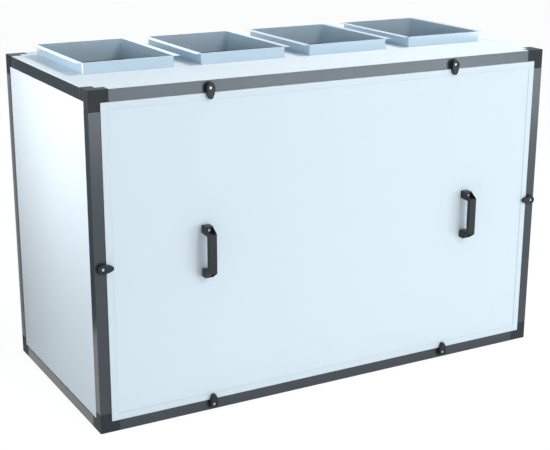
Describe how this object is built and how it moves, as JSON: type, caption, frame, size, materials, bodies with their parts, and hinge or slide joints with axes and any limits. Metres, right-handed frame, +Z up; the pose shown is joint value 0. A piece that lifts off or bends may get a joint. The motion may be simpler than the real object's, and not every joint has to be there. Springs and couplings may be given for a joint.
{
  "type": "heat recovery ventilation unit",
  "caption": "Box-shaped heat recovery ventilation unit with rectangular duct spigots on top, a lift-off front service panel with bridge handles and turn clamps, and a plate exchanger inside.",
  "frame": {"origin": "on the floor, under the middle of the casing", "axes": "+Z up, +X to the right along the service panel, -Y out of the service panel"},
  "size_m": [1.6, 0.8125, 1.0605],
  "materials": {
    "frame_coating": "satin dark grey coating",
    "corner_coating": "satin near-black grey coating",
    "panel_coating": "smooth satin off-white coating with a cool tint",
    "trim_coating": "satin pale grey coating",
    "galvanised_sheet": "zinc coated sheet, slightly matt",
    "spigot_sheet": "smooth satin pale grey coating",
    "insulation_wool": "pressed mineral wool",
    "gasket_rubber": "matt foam rubber",
    "grip_plastic": "fine textured dark grey",
    "zinc_steel": "bright zinc plated",
    "aluminium_foil": "bright rolled foil",
    "stainless_tray": "fine brushed",
    "wheel_plastic": "matt dark grey",
    "motor_black": "matt black",
    "filter_card": "matt white board",
    "filter_fleece": "white needle felt",
    "board_green": "green solder mask"
  },
  "bodies": {
    "casing": {"back_insulation": "insulation_wool", "back_liner": "galvanised_sheet", "back_panel": "panel_coating", "bottom_corner_pieces": "corner_coating", "bottom_panel": "panel_coating", "bypass_actuator": "motor_black", "bypass_duct": "galvanised_sheet", "cable_glands": "motor_black", "circuit_board": "board_green", "clamp_spacers": "grip_plastic", "control_box": "galvanised_sheet", "control_box_lid": "galvanised_sheet", "door_gasket": "gasket_rubber", "drain_stub": "stainless_tray", "drip_tray": "stainless_tray", "exchanger_frame": "aluminium_foil", "exchanger_plates": "aluminium_foil", "exchanger_seals": "gasket_rubber", "exhaust_air_spigot": "spigot_sheet", "extract_air_spigot": "spigot_sheet", "fan_brackets": "galvanised_sheet", "fan_deck": "galvanised_sheet", "fan_nozzles": "galvanised_sheet", "fan_stators": "motor_black", "filter_rails": "galvanised_sheet", "frame_depth_rails": "frame_coating", "frame_uprights": "frame_coating", "frame_width_rails": "frame_coating", "inner_partitions": "galvanised_sheet", "left_side_panel": "panel_coating", "outdoor_air_spigot": "spigot_sheet", "right_side_panel": "panel_coating", "supply_air_spigot": "spigot_sheet", "top_corner_pieces": "corner_coating", "top_insulation": "insulation_wool", "top_liner": "galvanised_sheet", "top_outer_sheet": "panel_coating", "wall_insulation": "insulation_wool", "wall_liners": "galvanised_sheet"},
    "service_panel": {"door_outer_sheet": "panel_coating", "door_insulation": "insulation_wool", "door_inner_sheet": "galvanised_sheet", "door_edge_trim": "trim_coating", "left_handle": "grip_plastic", "right_handle": "grip_plastic", "handle_screws": "zinc_steel", "clamp_screws": "zinc_steel"},
    "clamp_bottom_left": {"clamp_lever_bottom_left": "grip_plastic"},
    "clamp_bottom_right": {"clamp_lever_bottom_right": "grip_plastic"},
    "clamp_left": {"clamp_lever_left": "grip_plastic"},
    "clamp_right": {"clamp_lever_right": "grip_plastic"},
    "clamp_top_left": {"clamp_lever_top_left": "grip_plastic"},
    "clamp_top_right": {"clamp_lever_top_right": "grip_plastic"},
    "extract_filter": {"extract_filter_frame": "filter_card", "extract_filter_media": "filter_fleece"},
    "outdoor_filter": {"outdoor_filter_frame": "filter_card", "outdoor_filter_media": "filter_fleece"},
    "supply_wheel": {"supply_fan_impeller": "wheel_plastic"},
    "exhaust_wheel": {"exhaust_fan_impeller": "wheel_plastic"},
    "bypass_damper": {"bypass_blade": "galvanised_sheet"}
  },
  "joints": [
    {"name": "service_panel_lift_off", "type": "slide", "parent": "casing", "child": "service_panel", "axis": [0, -1, 0], "range_m": [0, 0.65]},
    {"name": "clamp_top_left_turn", "type": "hinge", "parent": "service_panel", "child": "clamp_top_left", "pos_m": [-0.433, -0.365, 1.0045], "axis": [0, -1, 0], "range_deg": [-90, 90]},
    {"name": "clamp_top_right_turn", "type": "hinge", "parent": "service_panel", "child": "clamp_top_right", "pos_m": [0.433, -0.365, 1.0045], "axis": [0, -1, 0], "range_deg": [-90, 90]},
    {"name": "clamp_left_turn", "type": "hinge", "parent": "service_panel", "child": "clamp_left", "pos_m": [-0.7785, -0.365, 0.513], "axis": [0, -1, 0], "range_deg": [-90, 90]},
    {"name": "clamp_right_turn", "type": "hinge", "parent": "service_panel", "child": "clamp_right", "pos_m": [0.7785, -0.365, 0.513], "axis": [0, -1, 0], "range_deg": [-90, 90]},
    {"name": "clamp_bottom_left_turn", "type": "hinge", "parent": "service_panel", "child": "clamp_bottom_left", "pos_m": [-0.433, -0.365, 0.0215], "axis": [0, -1, 0], "range_deg": [-90, 90]},
    {"name": "clamp_bottom_right_turn", "type": "hinge", "parent": "service_panel", "child": "clamp_bottom_right", "pos_m": [0.433, -0.365, 0.0215], "axis": [0, -1, 0], "range_deg": [-90, 90]},
    {"name": "extract_filter_pull_out", "type": "slide", "parent": "casing", "child": "extract_filter", "axis": [0, -1, 0], "range_m": [0, 0.6]},
    {"name": "outdoor_filter_pull_out", "type": "slide", "parent": "casing", "child": "outdoor_filter", "axis": [0, -1, 0], "range_m": [0, 0.6]},
    {"name": "supply_wheel_spin", "type": "hinge", "parent": "casing", "child": "supply_wheel", "pos_m": [-0.19175, 0.083, 0.864], "axis": [0, 0, 1], "continuous": true},
    {"name": "exhaust_wheel_spin", "type": "hinge", "parent": "casing", "child": "exhaust_wheel", "pos_m": [0.19175, 0.083, 0.864], "axis": [0, 0, 1], "continuous": true},
    {"name": "bypass_damper_turn", "type": "hinge", "parent": "casing", "child": "bypass_damper", "pos_m": [-0.18526, 0.284, 0.62326], "axis": [0.7071, 0, 0.7071], "range_deg": [0, 90]}
  ],
  "couplings": [
    {"joint": "extract_filter_pull_out", "follows": "service_panel_lift_off", "ratio": 0.92},
    {"joint": "outdoor_filter_pull_out", "follows": "service_panel_lift_off", "ratio": 0.92}
  ]
}
